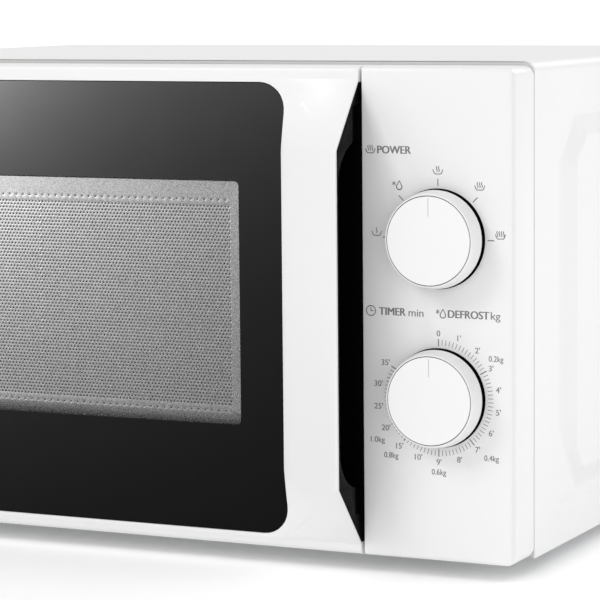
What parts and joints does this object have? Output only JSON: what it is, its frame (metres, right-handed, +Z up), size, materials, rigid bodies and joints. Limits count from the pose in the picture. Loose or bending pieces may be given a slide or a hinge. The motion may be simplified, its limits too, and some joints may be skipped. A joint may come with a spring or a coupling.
{
  "type": "microwave oven",
  "caption": "Countertop microwave oven with a side-hinged window door, ramped pull handle, two round dials, turntable and full internal mechanism.",
  "frame": {"origin": "centre of the footprint, on the surface that the feet stand on", "axes": "+X to the right seen from the front, +Y from the front to the rear, +Z up"},
  "size_m": [0.44, 0.358, 0.2595],
  "materials": {
    "white_paint": "satin white enamel",
    "galvanised": "bright zinc-coated sheet",
    "cavity_paint": "satin pale grey enamel",
    "foot_rubber": "matt",
    "screw_steel": "plated",
    "black_plastic": "fine grained",
    "mica": "pale mica board",
    "white_nylon": "unpainted nylon",
    "lamp_glass": "clear",
    "fin_aluminium": "mill finish",
    "copper": "enamelled copper",
    "magnet_ferrite": "matt ferrite",
    "core_iron": "stacked laminations, varnished",
    "black_component": "moulded",
    "circuit_board": "printed board",
    "fuse_glass": "clear",
    "shaft_steel": "turned",
    "tray_glass": "clear toughened",
    "plunger_red": "moulded",
    "white_plastic": "semi-gloss white",
    "dial_plastic": "semi-gloss white",
    "switch_housing": "moulded",
    "black_gloss": "high gloss black",
    "handle_black": "satin black",
    "clear_film": "clear",
    "door_mesh": "satin grey enamel, perforated"
  },
  "bodies": {
    "root": {"outer_case": "white_paint", "rear_panel": "white_paint", "base_plate": "galvanised", "feet": "foot_rubber", "case_screws": "screw_steel", "cord_inlet_bush": "black_plastic", "oven_cavity": "cavity_paint", "front_frame": "cavity_paint", "waveguide": "galvanised", "waveguide_cover": "mica", "lamp_holder": "white_nylon", "oven_lamp": "lamp_glass", "magnetron_yoke": "galvanised", "magnetron_fins": "fin_aluminium", "magnetron_anode": "copper", "magnetron_magnets": "magnet_ferrite", "magnetron_filter_box": "galvanised", "transformer_core": "core_iron", "primary_winding": "copper", "secondary_winding": "copper", "hv_capacitor": "fin_aluminium", "capacitor_clamp": "galvanised", "hv_diode": "black_component", "fan_shroud": "white_nylon", "fan_stator": "core_iron", "fan_coil": "copper", "fan_bearing_bracket": "galvanised", "air_duct": "white_nylon", "filter_board": "circuit_board", "mains_fuse": "fuse_glass", "turntable_motor": "galvanised", "latch_bracket": "white_nylon", "microswitches": "black_component", "control_panel": "white_plastic", "timer_unit": "switch_housing", "power_switch_unit": "switch_housing", "hinges": "galvanised"},
    "door": {"door_frame": "white_plastic", "window_bezel": "black_gloss", "window_film": "clear_film", "door_plate": "door_mesh", "choke_cover": "black_plastic", "handle_insert": "handle_black", "latch_spring": "shaft_steel"},
    "door_latch": {"door_latch": "white_nylon"},
    "timer_dial": {"timer_dial": "dial_plastic", "timer_shaft": "shaft_steel"},
    "power_dial": {"power_dial": "dial_plastic", "power_shaft": "shaft_steel"},
    "fan": {"fan_rotor": "core_iron", "fan_blade": "white_nylon"},
    "turntable": {"turntable_shaft": "shaft_steel", "turntable_coupler": "white_nylon", "glass_tray": "tray_glass"},
    "roller_ring": {"roller_ring": "white_nylon"},
    "roller_1": {"roller_1": "white_nylon"},
    "roller_2": {"roller_2": "white_nylon"},
    "roller_3": {"roller_3": "white_nylon"},
    "upper_plunger": {"upper_plunger": "plunger_red"},
    "lower_plunger": {"lower_plunger": "plunger_red"}
  },
  "joints": [
    {"name": "door_hinge", "type": "hinge", "parent": "root", "child": "door", "pos_m": [-0.2075, -0.136, 0.133], "axis": [0, 0, -1], "range_deg": [0, 100]},
    {"name": "door_latch_lift", "type": "slide", "parent": "door", "child": "door_latch", "axis": [0, 0, 1], "range_m": [0, 0.003], "stiffness_N_per_m": 250, "springref_m": -0.004, "deforming": ["latch_spring"]},
    {"name": "timer_turn", "type": "hinge", "parent": "root", "child": "timer_dial", "pos_m": [0.1785, -0.151, 0.0924], "axis": [0, 1, 0], "range_deg": [0, 300]},
    {"name": "power_turn", "type": "hinge", "parent": "root", "child": "power_dial", "pos_m": [0.1785, -0.151, 0.1715], "axis": [0, 1, 0], "range_deg": [-90, 90]},
    {"name": "fan_spin", "type": "hinge", "parent": "root", "child": "fan", "pos_m": [0.162, 0.14, 0.18], "axis": [0, 1, 0], "continuous": true},
    {"name": "turntable_spin", "type": "hinge", "parent": "root", "child": "turntable", "pos_m": [-0.05, 0.0212, 0.048], "axis": [0, 0, 1], "continuous": true},
    {"name": "roller_ring_spin", "type": "hinge", "parent": "root", "child": "roller_ring", "pos_m": [-0.05, 0.0212, 0.0405], "axis": [0, 0, 1], "continuous": true},
    {"name": "roller_1_spin", "type": "hinge", "parent": "roller_ring", "child": "roller_1", "pos_m": [0.034, 0.0212, 0.0405], "axis": [1, 0, 0], "continuous": true},
    {"name": "roller_2_spin", "type": "hinge", "parent": "roller_ring", "child": "roller_2", "pos_m": [-0.092, 0.09395, 0.0405], "axis": [-0.5, 0.866, 0], "continuous": true},
    {"name": "roller_3_spin", "type": "hinge", "parent": "roller_ring", "child": "roller_3", "pos_m": [-0.092, -0.05155, 0.0405], "axis": [-0.5, -0.866, 0], "continuous": true},
    {"name": "upper_plunger_press", "type": "slide", "parent": "root", "child": "upper_plunger", "axis": [0, 1, 0], "range_m": [0, 0.0015], "stiffness_N_per_m": 150, "springref_m": -0.001},
    {"name": "lower_plunger_press", "type": "slide", "parent": "root", "child": "lower_plunger", "axis": [0, 1, 0], "range_m": [0, 0.0015], "stiffness_N_per_m": 150, "springref_m": -0.001}
  ],
  "couplings": [
    {"joint": "roller_ring_spin", "follows": "turntable_spin", "ratio": 0.5},
    {"joint": "roller_1_spin", "follows": "turntable_spin", "ratio": -5.8333},
    {"joint": "roller_2_spin", "follows": "turntable_spin", "ratio": -5.8333},
    {"joint": "roller_3_spin", "follows": "turntable_spin", "ratio": -5.8333}
  ]
}
